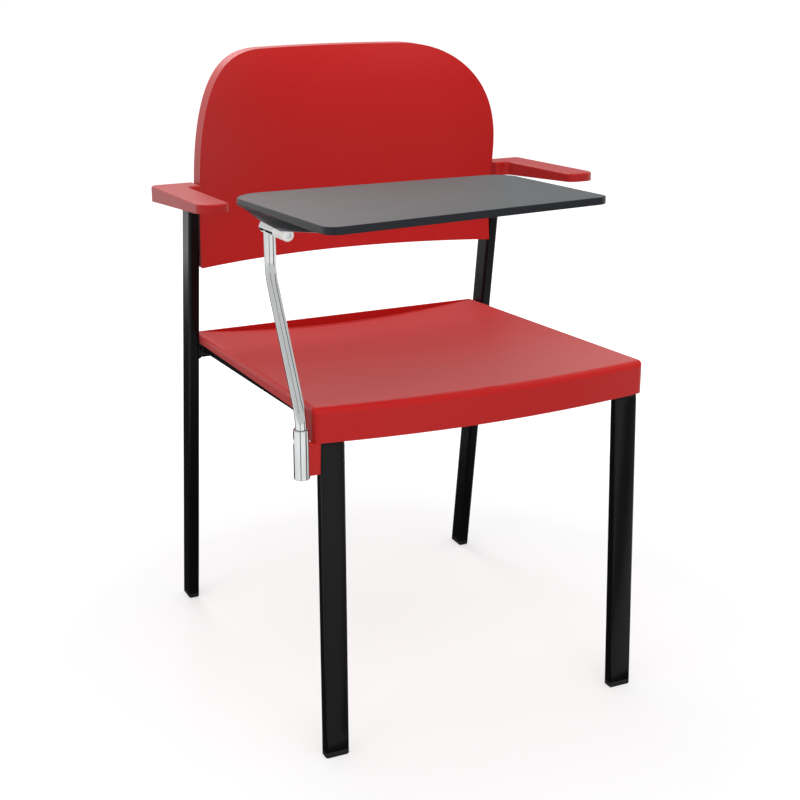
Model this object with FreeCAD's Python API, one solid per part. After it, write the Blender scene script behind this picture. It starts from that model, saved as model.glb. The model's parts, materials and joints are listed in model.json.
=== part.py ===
import FreeCAD, Part
import math
import os

# Visitor chair with a plastic seat and back on a flat oval steel frame, short arm pads, and a
# writing tablet that hinges on a bent tube at the sitter's right.
# Millimetres. X runs to the sitter's left, Y to the back, Z up, and the floor is Z = 0.

Vector = FreeCAD.Vector
along_x = Vector(1, 0, 0)
along_y = Vector(0, 1, 0)
along_z = Vector(0, 0, 1)

# Values that every sub-part uses
overrun = 12.0          # how far a cutting solid runs past what it cuts
near = 0.01             # how close counts as on a face
rest_gap = 0.3          # between pieces that only rest beside each other
running_gap = 0.05      # between a shaft and its bush, on the radius

# Frame tube, a flat oval of one size for the whole frame
tube_width = 32.0
tube_depth = 16.0
tube_corner = 3.5
tube_wall = 1.5

# Legs: where each pair stands beside the seat and how it leans
front_foot_inset = 16.8     # from the seat's side in to the foot's middle
front_foot_setback = 17.0   # from the seat's front back to the foot's middle
front_splay = 0.6           # degrees inwards going up
front_rake = 1.6            # degrees backwards going up
front_bend = 34.0           # radius of the bend from leg to rail, at the tube's middle
upright_gap = 0.5           # between the seat's side and the upright beside it
rear_foot_setback = 42.8    # from the seat's rear back to the foot's middle
rear_rake = 8.13            # degrees forwards going up

# Glides under the legs
glide_height = 8.0
glide_plug_height = 14.0
glide_chamfer = 1.5
glide_clearance = 0.1

# Seat shell: one moulding with a rolled edge, a deep front apron and a dished pan
seat_half_width = 228.0      # at the rear
seat_flare = 3.0             # how much wider it is at the front, on each side
seat_front_y = -230.0
seat_depth = 497.0
seat_front_height = 466.0    # top of the seat at its front edge
seat_tilt = 3.3              # degrees, falling to the back
seat_front_bow = 21.5        # how far the front edge curves back at the sides
seat_front_corner = 10.0
seat_rear_corner = 9.0
seat_roll = 6.5              # radius of the rolled top edge
seat_front_roll = 12.0       # along the front edge
seat_wall = 3.5
seat_dish = 12.0             # how deep the pan is at the back of its middle
seat_lip = 9.0               # width of the lip behind the pan
apron_height = 45.5
rim_rear = 11.0              # height of the side rim at the back
rim_front = 16.5             # height of the side rim just behind the apron
rim_setback = 64.0           # from the seat's front to where the side rim drops into the apron
apron_corner_setback = 47.0  # to the foot of the steep part of that drop
apron_corner_rise = 2.0      # how far above the apron's bottom that foot is
apron_return_setback = 38.0  # to where the apron's straight bottom starts
dish_place_shares = (0.0, 0.28, 0.62, 1.0)
dish_depth_shares = (0.02, 0.45, 0.85, 1.0)

# Rails under the seat
rail_drop = 18.5             # from the seat's top plane down to the middle of the rails
rear_cross_drop = 25.4       # the same for the rear cross rail, which passes under the pan
front_cross_setback = 120.0  # from the seat's front

# Seat fixings
seat_boss_radius = 8.0
seat_screw_setbacks = (170.0, 390.0)
seat_screw_radius = 2.9
seat_screw_depth = 7.0       # how far a screw reaches into its boss

# Back shell: one bowed moulding with a rim all round
back_inset = 0.7             # how much narrower than the seat, on each side
back_rise = 76.7             # from the seat's front edge up to the bottom of the back
back_height = 290.8
back_advance = 16.5          # from the seat's rear forward to the middle of the back's bottom edge
back_roll = 36.5             # how far the middle of the top lies behind that
back_bow_bottom = 42.5       # how far the side edges stand forward of the middle
back_bow_top = 80.0
back_corner_width = 125.0
back_corner_height = 168.0
back_corner_power = 2.55     # exponent of the super ellipse at the upper corners
back_corner_steps = 9
back_wall = 4.0
back_rim_depth = 27.0
back_height_shares = (-0.045, 0.095, 0.235, 0.40, 0.575, 0.745, 0.90, 1.045)
back_setback_shares = (-0.06, 0.19, 0.32, 0.325, 0.30, 0.39, 0.67, 1.17)

# Steel bars behind the back shell, at the second and third of those heights
bar_height = 20.0
bar_thickness = 4.0
bar_set_back = 10.0          # from the shell's front face to the bar's front face
back_screw_x = 110.0
back_boss_radius = 8.0
back_screw_radius = 2.9
back_screw_skin = 1.5        # plastic left in front of the screw's tip

# Arm pads, each over a steel plate on top of an upright
arm_gap = 20.0               # from the seat's side out to the pad
arm_width = 41.0
arm_advance = 31.0           # from the seat's rear forward to the pad's rear
arm_length = 223.0
arm_stub_length = 44.0
arm_rise = 194.0             # from the seat's front edge up to the pad's rear end
arm_lift = 10.5              # how much higher the pad's front end is
arm_rear_thickness = 21.8
arm_front_thickness = 11.5
arm_outer_front_corner = 20.0
arm_inner_front_corner = 12.0
arm_rear_corner = 10.0
arm_notch_corner = 8.0
arm_stub_corner = 4.0
arm_edge = 3.0
plate_thickness = 4.0
plate_inset = 5.0
arm_screw_setbacks = (176.0, 76.0)    # from the pad's rear forward
arm_screw_radius = 2.0
arm_screw_skin = 3.0

# Screw heads
head_height = 3.0
head_share = 1.9             # head radius over shaft radius
recess_share = 0.9           # recess radius over shaft radius
recess_depth = 1.6

# Socket at the right front leg for the tablet's arm
socket_gap = 16.5            # from the seat's side out to the socket's axis
socket_setback = 10.5        # from the front foot's middle back to the socket's axis
sleeve_drop = 26.7           # from the seat's front edge down to the sleeve's top
sleeve_height = 61.8
sleeve_radius = 9.6
sleeve_bore = 7.5
sleeve_edge = 0.8
slot_drop = 18.9             # from the sleeve's top down to the slot's bottom
slot_height = 7.6
slot_start = 32.0            # degrees from +X, seen from above
slot_end = 188.0
end_plug_thickness = 4.0
spacer_height = 38.7
spacer_gap = 0.8             # between the spacer and the seat's apron above it
spacer_width = 12.5
socket_bolt_radius = 3.0
socket_bolt_drops = (49.3, 27.3)      # from the sleeve's top
socket_bolt_skin = 0.3

# Arm tube
arm_radius = 7.0
arm_wall = 1.5
arm_reach = 88.5             # from the socket's axis back to the hinge
arm_lower_bend = 55.0
arm_upper_bend = 60.0
arm_bend_rise = 1.7          # from the sleeve's top to the start of the lower bend
arm_top_run = 40.4           # from the end of the upper bend to the hinge
arm_plug_flange = 2.0
arm_plug_length = 12.0
limit_pin_radius = 2.5
limit_pin_angle = 140.0      # degrees from +X at rest
limit_pin_reach = 9.0        # from the arm's axis to the pin's outer end
limit_pin_root = 4.5

# Tablet hinge, laid out on its own axis: U to the sitter's left, V to the back, W up
hinge_rise = 223.4           # from the sleeve's top up to the hinge
hinge_tilt = 2.58            # degrees, rising to the front
barrel_radius = 7.2          # a little more than the arm tube's, so the tube's end meets it all round
barrel_bore = 5.6
barrel_rear = 15.1
barrel_front = -27.9
cap_height = 4.0
cap_edge = 3.2
cap_plug = 5.0
bush_length = 12.0
bush_step = 4.0              # from the cap's plug to the rear bush
axle_radius = 4.0
knuckle_length = 35.3
knuckle_edge = 3.0
knuckle_groove_setback = 12.3   # from the knuckle's rear end forward to a groove round it
knuckle_groove_width = 1.2
knuckle_groove_depth = 0.8
axle_recess = 3.5
clip_radius = 5.3
clip_thickness = 0.8
clip_gap = 0.4
saddle_half_width = 6.0
saddle_base = 3.0
saddle_inset = 3.0
stop_reach = 22.0
stop_thickness = 4.0
stop_front = -27.5
stop_rear = 12.5
stop_root = 3.0

# Tablet: its corners from the hinge axis, seen from above
tablet_rear_right = (-24.6, 83.7)
tablet_front_right = (-11.3, -212.3)
tablet_front_left = (359.1, -177.3)
tablet_rear_left = (354.5, 69.9)
tablet_rear_right_corner = 42.0
tablet_front_right_corner = 16.0
tablet_front_left_corner = 16.0
tablet_rear_left_corner = 36.0
tablet_top = 30.8            # above the hinge axis
tablet_thickness = 9.0
edge_band_width = 2.0
edge_round = 1.2

# Housing under the tablet: a lip round the board's right edge, tapering to the hinge
housing_lip = 1.5               # how far it stands out beside the board
housing_lip_rear = 4.2          # how far up the board's edge it reaches at the rear
housing_lip_front = 0.4
housing_left = 84.0
housing_front = -194.0
housing_front_corner = 15.0
housing_left_corner = 20.0
housing_bottom_rear_right = (-7.0, 13.5)
housing_bottom_front_right = (-13.5, -74.5)
housing_bottom_front_left = (52.0, -86.0)
housing_bottom_rear_left = (52.0, 14.5)
housing_bottom_corner = 6.0
tablet_screw_places = ((36.0, -63.5), (36.0, -5.5))
tablet_screw_radius = 2.0
tablet_screw_skin = 2.5

# Places that follow from the values above
seat_rear_y = seat_front_y + seat_depth
front_foot_x = seat_half_width - front_foot_inset
front_foot_y = seat_front_y + front_foot_setback
rear_foot_x = seat_half_width + upright_gap + tube_depth / 2
rear_foot_y = seat_rear_y + rear_foot_setback
front_cross_y = seat_front_y + front_cross_setback
back_half_width = seat_half_width - back_inset
back_bottom = seat_front_height + back_rise
back_top = back_bottom + back_height
back_bottom_y = seat_rear_y - back_advance
arm_inner_x = seat_half_width + arm_gap
arm_outer_x = arm_inner_x + arm_width
arm_rear_y = seat_rear_y - arm_advance
arm_front_y = arm_rear_y - arm_length
arm_notch_y = arm_rear_y - arm_stub_length
arm_rear_height = seat_front_height + arm_rise
arm_front_height = arm_rear_height + arm_lift
arm_peak = max(arm_rear_height, arm_front_height) + overrun
socket_x = -seat_half_width - socket_gap
socket_y = front_foot_y + socket_setback
sleeve_top = seat_front_height - sleeve_drop
sleeve_bottom = sleeve_top - sleeve_height
slot_bottom = sleeve_top - slot_drop
hinge_y = socket_y + arm_reach
hinge_height = sleeve_top + hinge_rise

pieces = {}


# Small geometry helpers

def unit(vector):
    return vector * (1.0 / vector.Length)


def tangent(degrees):
    return math.tan(math.radians(degrees))


def mirrored(shape):
    """The same piece on the other side of the chair's middle plane."""
    return shape.mirror(Vector(0, 0, 0), along_x)


def rounded_outline(corners, radii):
    """A closed flat wire through the corners, each one rounded by its own radius."""
    rounds = []
    for index, corner in enumerate(corners):
        to_last = unit(corners[index - 1] - corner)
        to_next = unit(corners[(index + 1) % len(corners)] - corner)
        half = to_last.getAngle(to_next) / 2
        middle = unit(to_last + to_next)
        cut = radii[index] / math.tan(half)
        arc_top = corner + middle * (radii[index] / math.sin(half) - radii[index])
        rounds.append((corner + to_last * cut, arc_top, corner + to_next * cut))
    edges = []
    for index, (start, arc_top, end) in enumerate(rounds):
        edges.append(Part.LineSegment(rounds[index - 1][2], start).toShape())
        edges.append(Part.Arc(start, arc_top, end).toShape())
    return Part.Wire(edges)


def box_outline(width, depth, corner, centre):
    """A rounded rectangle in the XY plane about a centre."""
    corners = []
    for side_x, side_y in ((-1, -1), (1, -1), (1, 1), (-1, 1)):
        corners.append(centre + Vector(side_x * width / 2, side_y * depth / 2, 0))
    return rounded_outline(corners, [corner] * len(corners))


def side_slab(profile, half_width):
    """A solid whose outline in the YZ plane is given, reaching the same way to both sides."""
    points = [Vector(-half_width, y, z) for y, z in profile]
    face = Part.Face(Part.makePolygon(points + points[:1]))
    return face.extrude(Vector(half_width + half_width, 0, 0))


def cylinder(radius, start, direction, length):
    return Part.makeCylinder(radius, length, start, direction)


def fillet_where(shape, radius, chosen):
    """Round the edges that the test function picks."""
    return shape.makeFillet(radius, [edge for edge in shape.Edges if chosen(edge)])


def screw(seat, direction, length, radius):
    """A pan head screw: its head stands off the seat, its shaft runs along the direction."""
    head_radius = radius * head_share
    head = cylinder(head_radius, seat - direction * head_height, direction, head_height)
    head = head.makeChamfer(head_height / 3, [min(head.Edges, key=lambda edge: edge_along(edge, direction))])
    recess = cylinder(radius * recess_share, seat - direction * head_height, direction, recess_depth)
    shaft = cylinder(radius, seat, direction, length)
    return head.cut(recess).fuse(shaft).removeSplitter()


def sunk_screw(seat, direction, length, radius):
    """A countersunk screw: its head ends level with its seat."""
    head_radius = radius * head_share
    head = Part.makeCone(head_radius, radius, head_radius - radius, seat, direction)
    recess = cylinder(radius * recess_share, seat, direction, recess_depth)
    return head.fuse(cylinder(radius, seat, direction, length)).cut(recess).removeSplitter()


def sink(seat, direction, radius, gap):
    """Room for the head of a countersunk screw."""
    head_radius = radius * head_share + gap
    cone = Part.makeCone(head_radius, radius + gap, head_radius - radius - gap, seat, direction)
    return cone.fuse(cylinder(head_radius, seat, -direction, overrun))


def edge_along(edge, direction):
    """How far an edge's middle lies along a direction; a head's rim lies least far."""
    return edge.CenterOfMass.dot(direction)


# Frame tubes

front_lean = Vector(-tangent(front_splay), tangent(front_rake), 1)
rear_lean = Vector(0, -tangent(rear_rake), 1)
front_foot = Vector(front_foot_x, front_foot_y, 0)
rear_foot = Vector(rear_foot_x, rear_foot_y, 0)
seat_fall = tangent(seat_tilt)
seat_back_down = Vector(0, math.cos(math.radians(seat_tilt)), -math.sin(math.radians(seat_tilt)))


def seat_level(y):
    """Height of the seat's top plane."""
    return seat_front_height - seat_fall * (y - seat_front_y)


def leg_point(foot, lean, height):
    return foot + lean * height


def hollow(make):
    """A tube from a function that makes its outside or, with the wall, its inside."""
    return make(0).cut(make(tube_wall))


def front_section(centre, inset):
    return box_outline(tube_width - inset - inset, tube_depth - inset - inset,
                       tube_corner - inset, centre)


def upright_section(centre, inset):
    return box_outline(tube_depth - inset - inset, tube_width - inset - inset,
                       tube_corner - inset, centre)


def bend_start_height():
    """Where the front leg's bend has to start so that it ends at the rail's height."""
    end_y = front_foot_y + front_bend + front_bend * math.sin(math.radians(seat_tilt))
    level = seat_level(end_y) - rail_drop
    rise = front_bend * math.cos(math.radians(seat_tilt))
    slope = tangent(front_rake)
    return (level - rise) / (1 + slope * seat_fall)


bend_height = bend_start_height()
bend_foot = leg_point(front_foot, front_lean, bend_height)
bend_centre = bend_foot + Vector(0, front_bend, 0)
bend_turn = 90.0 + seat_tilt
rail_start = bend_centre + Vector(0, front_bend * math.sin(math.radians(seat_tilt)),
                                  front_bend * math.cos(math.radians(seat_tilt)))
rear_cross_y = rear_foot_y - tangent(rear_rake) * (seat_level(seat_rear_y) - rear_cross_drop)
rear_cross_front_y = rear_cross_y - tube_width / 2
upright_inner_x = rear_foot_x - tube_depth / 2


def front_leg_block(inset):
    """A front leg as if it were solid: upright from its glide, then bent to run under the seat."""
    start = leg_point(front_foot, front_lean, glide_height)
    straight = Part.Face(front_section(start, inset)).extrude(front_lean * (bend_height - glide_height))
    bent = Part.Face(front_section(bend_foot, inset)).revolve(bend_centre, -along_x, bend_turn)
    return straight.fuse(bent).removeSplitter()


def leg_relief():
    """Room for both legs behind the seat's apron."""
    block = front_leg_block(-rest_gap)
    return Part.Compound([block, mirrored(block)])


def side_rail():
    """Tube from the leg's bend back to the rear cross rail."""
    length = (rear_cross_front_y - rail_start.y) / seat_back_down.y

    def outside(inset):
        section = front_section(bend_foot, inset)
        section.rotate(bend_centre, -along_x, bend_turn)
        return Part.Face(section).extrude(seat_back_down * length)
    return hollow(outside)


def cross_rail(middle_y, half_length, drop):
    """Tube across the chair, lying flat in the seat's slope."""
    centre = Vector(-half_length, middle_y, seat_level(middle_y) - drop)

    def outside(inset):
        section = upright_section(Vector(0, 0, 0), inset)
        section.rotate(Vector(0, 0, 0), along_y, 90)
        section.rotate(Vector(0, 0, 0), along_x, -seat_tilt)
        section.translate(centre)
        return Part.Face(section).extrude(Vector(half_length + half_length, 0, 0))
    return hollow(outside)


def rail_level(y):
    return seat_level(y) - rail_drop


def rail_top_drop():
    """From the seat's top plane down to the rails' upper faces, measured upright."""
    return rail_drop - tube_depth / 2 / math.cos(math.radians(seat_tilt))


def upright():
    """Straight tube from the rear glide to the underside of the arm's plate."""
    def outside(inset):
        start = leg_point(rear_foot, rear_lean, glide_height)
        return Part.Face(upright_section(start, inset)).extrude(rear_lean * (arm_peak - glide_height))
    return hollow(outside).cut(above_arm_bottom(0))


def glide(foot, lean, section):
    """Plastic foot: a block as wide as the tube and a plug that fills the tube's end."""
    block = Part.Face(section(foot, 0)).extrude(lean * glide_height)
    block = block.makeChamfer(glide_chamfer, [edge for edge in block.Edges
                                              if edge.BoundBox.ZMax < near])
    plug_start = leg_point(foot, lean, glide_height)
    plug_section = section(plug_start, tube_wall + glide_clearance)
    return block.fuse(Part.Face(plug_section).extrude(lean * glide_plug_height))


# Seat shell

seat_front_half = seat_half_width + seat_flare
seat_front_radius = (seat_front_half ** 2 + seat_front_bow ** 2) / (2 * seat_front_bow)


def seat_plan(inset, height):
    """The shell's outline from above: sides that flare forwards, a bowed front, rounded corners."""
    side_start = Vector(seat_front_half, seat_front_y, height)
    along = unit(Vector(seat_half_width, seat_rear_y, height) - side_start)
    outward = Vector(along.y, -along.x, 0)
    centre = Vector(0, seat_front_y + seat_front_radius, height)
    big = seat_front_radius - inset
    corner = seat_front_corner - inset
    back_corner = seat_rear_corner - inset
    line = side_start - outward * seat_front_corner
    small = line + along * line_meets_circle(line - centre, along, big - corner)
    line = side_start - outward * seat_rear_corner
    small_rear = line + along * ((seat_rear_y - seat_rear_corner - line.y) / along.y)
    to_corner = unit(small - centre)
    front_end = small + to_corner * corner
    side_end = small + outward * corner
    side_top = small_rear + outward * back_corner
    rear_end = small_rear + along_y * back_corner
    middle = small + unit(to_corner + outward) * corner
    rear_middle = small_rear + unit(along_y + outward) * back_corner
    half = [Part.Arc(front_end, middle, side_end).toShape(), Part.LineSegment(side_end, side_top).toShape(),
            Part.Arc(side_top, rear_middle, rear_end).toShape()]
    front = Part.Arc(opposite(front_end), centre - Vector(0, big, 0), front_end).toShape()
    rear = Part.LineSegment(rear_end, opposite(rear_end)).toShape()
    return Part.Wire(Part.__sortEdges__(half + [mirrored(edge) for edge in half] + [front, rear]))


def opposite(point):
    return Vector(-point.x, point.y, point.z)


def line_meets_circle(from_centre, along, radius):
    """How far along a line it first meets a circle about the origin."""
    middle = from_centre.dot(along)
    return -middle - math.sqrt(middle ** 2 - from_centre.dot(from_centre) + radius ** 2)


def front_roll(inset):
    """What the larger roll of the front edge takes off, at a depth below the skin."""
    radius = seat_front_roll - inset
    reach = seat_front_radius / math.cos(math.radians(seat_tilt))
    axis_foot = Vector(0, seat_front_y + seat_front_radius, 0)
    axis_foot.z = seat_level(axis_foot.y)
    centre = axis_foot - seat_back_down * (reach - seat_front_roll) - seat_up * seat_front_roll
    top = centre + seat_up * radius
    low = centre - seat_back_down * radius
    forward = seat_back_down * -(radius + overrun)
    lift = seat_up * (radius + overrun)
    walls = Part.makePolygon([low, centre + forward, centre + forward + lift, centre + lift, top])
    arc = Part.Arc(top, centre + unit(seat_up - seat_back_down) * radius, low).toShape()
    turn = 2 * math.degrees(math.asin((seat_front_half + overrun) / seat_front_radius))
    face = Part.Face(Part.Wire(walls.Edges + [arc]))
    face.rotate(axis_foot, seat_up, -turn / 2)
    return face.revolve(axis_foot, seat_up, turn)


apron_bottom = seat_front_height - apron_height
seat_plan_bottom = apron_bottom - overrun
seat_plan_rise = apron_height + overrun + overrun


def above_seat(drop):
    """Everything over a plane that lies below the seat's top plane."""
    front = seat_front_y - overrun
    rear = seat_rear_y + overrun
    top = seat_front_height + overrun + overrun
    profile = ((front, seat_level(front) - drop), (rear, seat_level(rear) - drop), (rear, top), (front, top))
    return side_slab(profile, seat_front_half + overrun)


def dish(drop, rear):
    """The hollow of the pan: arcs across the seat that deepen towards the back."""
    half = seat_half_width - seat_roll
    front = seat_front_y + seat_roll
    sections = []
    for place, depth in zip(dish_place_shares, dish_depth_shares):
        y = front + (rear - front) * place
        level = seat_level(y) - drop
        left = Vector(-half, y, level)
        right = Vector(half, y, level)
        rise = Vector(0, 0, seat_dish + overrun)
        arc = Part.Arc(left, Vector(0, y, level - seat_dish * depth), right).toShape()
        walls = Part.makePolygon([right, right + rise, left + rise, left])
        sections.append(Part.Wire([arc] + walls.Edges))
    return Part.makeLoft(sections, True, False)


def below_rim():
    """What is cut away under the side rim, up to the deep apron at the front."""
    rear = seat_rear_y + overrun
    front = seat_front_y - overrun
    bottom = seat_plan_bottom - overrun
    rim_y = seat_front_y + rim_setback
    profile = ((rear, seat_level(rear) - rim_rear), (rim_y, seat_level(rim_y) - rim_front),
               (seat_front_y + apron_corner_setback, apron_bottom + apron_corner_rise),
               (seat_front_y + apron_return_setback, apron_bottom),
               (front, apron_bottom), (front, bottom), (rear, bottom))
    return side_slab(profile, seat_front_half + overrun)


def side_rail_point(y):
    """The middle of the left side rail at a place along it."""
    return Vector(rail_start.x, y, rail_level(y))


seat_up = Vector(0, math.sin(math.radians(seat_tilt)), math.cos(math.radians(seat_tilt)))


def seat_shell():
    outer = Part.Face(seat_plan(0, seat_plan_bottom)).extrude(Vector(0, 0, seat_plan_rise))
    outer = outer.cut(above_seat(0))
    outer = fillet_where(outer, seat_roll, on_seat_top).cut(front_roll(0))
    pan = dish(0, seat_rear_y - seat_lip)
    inner = Part.Face(seat_plan(seat_wall, seat_plan_bottom)).extrude(Vector(0, 0, seat_plan_rise))
    inner = inner.cut(above_seat(seat_wall)).cut(dish(seat_wall, seat_rear_y + overrun))
    inner = inner.cut(front_roll(seat_wall))
    under_pan = below_rim().cut(dish(seat_wall, seat_rear_y + overrun))
    shell = outer.cut(pan).cut(inner).cut(under_pan).cut(leg_relief())
    return shell.fuse(seat_bosses()).cut(seat_screw_shafts()).removeSplitter()


def on_seat_top(edge):
    """True for the edges round the flat top of the shell."""
    for vertex in edge.Vertexes:
        if abs(vertex.Z - seat_level(vertex.Y)) > near:
            return False
    return True


def seat_boss_points():
    """Where each boss stands on a rail's upper face, on both sides."""
    points = []
    for setback in seat_screw_setbacks:
        point = side_rail_point(seat_front_y + setback) + seat_up * (tube_depth / 2)
        points.append(point)
        points.append(Vector(-point.x, point.y, point.z))
    return points


def seat_bosses():
    """Posts moulded under the shell that stand on the side rails."""
    height = rail_top_drop() - seat_wall / 2
    posts = [cylinder(seat_boss_radius, point, seat_up, height) for point in seat_boss_points()]
    posts = [post.cut(dish(0, seat_rear_y)) for post in posts]
    return posts[0].multiFuse(posts[1:])


def seat_screw_shafts():
    """The screw shafts alone, which leave the holes in the bosses."""
    length = tube_depth + seat_screw_depth
    shafts = [cylinder(seat_screw_radius, point - seat_up * tube_depth, seat_up, length)
              for point in seat_boss_points()]
    return Part.Compound(shafts)


def seat_screws():
    length = tube_depth + seat_screw_depth
    return Part.Compound([screw(point - seat_up * tube_depth, seat_up, length, seat_screw_radius)
                          for point in seat_boss_points()])


def seat_screw_holes():
    """Clear holes through the rails."""
    length = tube_depth + overrun + overrun
    return Part.Compound([cylinder(seat_screw_radius + rest_gap, point - seat_up * (tube_depth + overrun),
                                   seat_up, length) for point in seat_boss_points()])


# Back shell

def bow_radius(height):
    """Radius of the back's curve, seen from above, at a height."""
    share = (height - back_bottom) / back_height
    bow = back_bow_bottom + (back_bow_top - back_bow_bottom) * share
    return (back_half_width ** 2 + bow ** 2) / (2 * bow)


def bow_section(level, front, rear):
    """The back's outline from above at one level, between two distances from its front face."""
    height = back_bottom + back_height * back_height_shares[level]
    middle_y = back_bottom_y + back_roll * back_setback_shares[level]
    radius = bow_radius(height)
    half = back_half_width + overrun
    edge_y = middle_y - (radius - math.sqrt(radius ** 2 - half ** 2))
    front_arc = Part.Arc(Vector(-half, edge_y + front, height), Vector(0, middle_y + front, height),
                         Vector(half, edge_y + front, height)).toShape()
    rear_arc = Part.Arc(Vector(half, edge_y + rear, height), Vector(0, middle_y + rear, height),
                        Vector(-half, edge_y + rear, height)).toShape()
    right = Part.LineSegment(Vector(half, edge_y + front, height), Vector(half, edge_y + rear, height))
    left = Part.LineSegment(Vector(-half, edge_y + rear, height), Vector(-half, edge_y + front, height))
    return Part.Wire([front_arc, right.toShape(), rear_arc, left.toShape()])


def bowed_block(front, rear):
    """A curved slab that follows the back's front face."""
    levels = range(len(back_height_shares))
    return Part.makeLoft([bow_section(level, front, rear) for level in levels], True, False)


def back_outline(inset):
    """The back seen from the front, pushed back as a solid: square below, broad round corners above."""
    half = back_half_width - inset
    top = back_top - inset
    bottom = back_bottom + inset
    width = back_corner_width - inset
    height = back_corner_height - inset
    front = back_bottom_y - back_bow_top - back_rim_depth - overrun
    points = []
    for step in range(back_corner_steps + 1):
        turn = math.radians(90.0 * step / back_corner_steps)
        across = math.sin(turn) ** (2 / back_corner_power)
        up = math.cos(turn) ** (2 / back_corner_power)
        points.append(Vector(half - width + width * across, front, top - height + height * up))
    right = Part.BSplineCurve()
    right.interpolate(points)
    left = Part.BSplineCurve()
    left.interpolate([Vector(-point.x, point.y, point.z) for point in reversed(points)])
    lower = Part.makePolygon([points[-1], Vector(half, front, bottom), Vector(-half, front, bottom),
                              Vector(-points[-1].x, front, points[-1].z)])
    upper = Part.LineSegment(Vector(-points[0].x, front, top), points[0])
    outline = Part.Wire([right.toShape()] + lower.Edges + [left.toShape(), upper.toShape()])
    reach = back_bow_top + back_rim_depth + back_roll + back_rim_depth + overrun + overrun
    return Part.Face(outline).extrude(Vector(0, reach, 0))


def bar_zone(level, margin):
    """The band of heights that a bar takes, reaching past both sides."""
    middle = back_bottom + back_height * back_height_shares[level]
    low = middle - bar_height / 2 - margin
    half = back_half_width + overrun
    front = back_bottom_y - back_bow_top - overrun
    return Part.makeBox(half + half, back_bow_top + back_rim_depth + back_rim_depth + overrun,
                        bar_height + margin + margin, Vector(-half, front, low))


def back_screw_line(level, side):
    """A fixing's place on the back's front face, and the way straight out behind it."""
    height = back_bottom + back_height * back_height_shares[level]
    radius = bow_radius(height)
    middle_y = back_bottom_y + back_roll * back_setback_shares[level]
    centre = Vector(0, middle_y - radius, height)
    x = side * back_screw_x
    place = Vector(x, centre.y + math.sqrt(radius ** 2 - x ** 2), height)
    return place, unit(place - centre)


bar_levels = (1, 2)
fixing_places = [back_screw_line(level, side) for level in bar_levels for side in (-1, 1)]


def back_shell():
    outline = back_outline(0)
    panel = bowed_block(0, back_wall).common(outline)
    rim = bowed_block(0, back_rim_depth).common(outline).cut(back_outline(back_wall))
    shell = panel.fuse(rim)
    bar_front = bowed_block(bar_set_back, back_rim_depth + bar_set_back)
    for place, outward in fixing_places:
        boss = cylinder(back_boss_radius, place + outward * (back_wall / 2), outward, bar_set_back)
        shell = shell.fuse(boss.cut(bar_front))
    slot_block = bowed_block(bar_set_back - rest_gap, bar_set_back + bar_thickness + rest_gap)
    for level in bar_levels:
        slots = slot_block.common(bar_zone(level, rest_gap)).cut(back_outline(back_wall))
        shell = shell.cut(slots)
    for place, outward in fixing_places:
        shell = shell.cut(back_screw_shaft(place, outward, back_screw_radius))
    return shell.removeSplitter()


def back_screw_shaft(place, outward, radius):
    start = place + outward * back_screw_skin
    return cylinder(radius, start, outward, bar_set_back + bar_thickness - back_screw_skin)


def back_screws():
    screws = []
    for place, outward in fixing_places:
        seat = place + outward * (bar_set_back + bar_thickness)
        screws.append(screw(seat, -outward, bar_set_back + bar_thickness - back_screw_skin,
                            back_screw_radius))
    return Part.Compound(screws)


def back_bar(level):
    """Bowed flat bar between the uprights, welded to their inner faces."""
    bar = bowed_block(bar_set_back, bar_set_back + bar_thickness).common(bar_zone(level, 0))
    half = upright_inner_x
    span = Part.makeBox(half + half, seat_rear_y + seat_rear_y, back_top, Vector(-half, -overrun, 0))
    bar = bar.common(span)
    for place, outward in fixing_places:
        bar = bar.cut(cylinder(back_screw_radius + rest_gap, place, outward,
                               bar_set_back + bar_thickness + overrun))
        bar = bar.cut(cylinder(back_screw_radius * head_share + rest_gap,
                               place + outward * (bar_set_back + bar_thickness), outward, overrun))
    return bar


# Arms

def arm_line(y, rear_value, front_value):
    share = (y - arm_rear_y) / (arm_front_y - arm_rear_y)
    return rear_value + (front_value - rear_value) * share


def arm_bottom(y):
    return arm_line(y, arm_rear_height - arm_rear_thickness, arm_front_height - arm_front_thickness)


def arm_top(y):
    return arm_line(y, arm_rear_height, arm_front_height)


def arm_wedge(lower, upper):
    """The space between two lines seen from the side, over the whole chair's width."""
    rear = arm_rear_y + overrun
    front = arm_front_y - overrun
    profile = ((rear, lower(rear)), (front, lower(front)), (front, upper(front)), (rear, upper(rear)))
    return side_slab(profile, arm_outer_x + overrun)


def above_arm_bottom(lift):
    return arm_wedge(lambda y: arm_bottom(y) + lift, lambda y: arm_peak + overrun)


def arm_plan(inset):
    """The pad's outline from above: a bar with a short stub to the back shell."""
    low = min(arm_bottom(arm_rear_y), arm_bottom(arm_front_y)) - overrun
    corners = [Vector(seat_half_width + inset, arm_rear_y - inset, low),
               Vector(arm_outer_x - inset, arm_rear_y - inset, low),
               Vector(arm_outer_x - inset, arm_front_y + inset, low),
               Vector(arm_inner_x + inset, arm_front_y + inset, low),
               Vector(arm_inner_x + inset, arm_notch_y + inset, low),
               Vector(seat_half_width + inset, arm_notch_y + inset, low)]
    radii = [arm_stub_corner, arm_rear_corner, arm_outer_front_corner - inset,
             arm_inner_front_corner - inset, arm_notch_corner, arm_stub_corner]
    return Part.Face(rounded_outline(corners, radii)).extrude(Vector(0, 0, arm_peak - low))


arm_screw_x = (arm_inner_x + arm_outer_x) / 2


def arm_screw_parts(make):
    """One thing per arm screw: each starts under the plate and points up."""
    places = [arm_rear_y - setback for setback in arm_screw_setbacks]
    return [make(Vector(arm_screw_x, y, arm_bottom(y)), arm_screw_length(y)) for y in places]


def arm_screw_length(y):
    return arm_top(y) - arm_bottom(y) - arm_screw_skin


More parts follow.
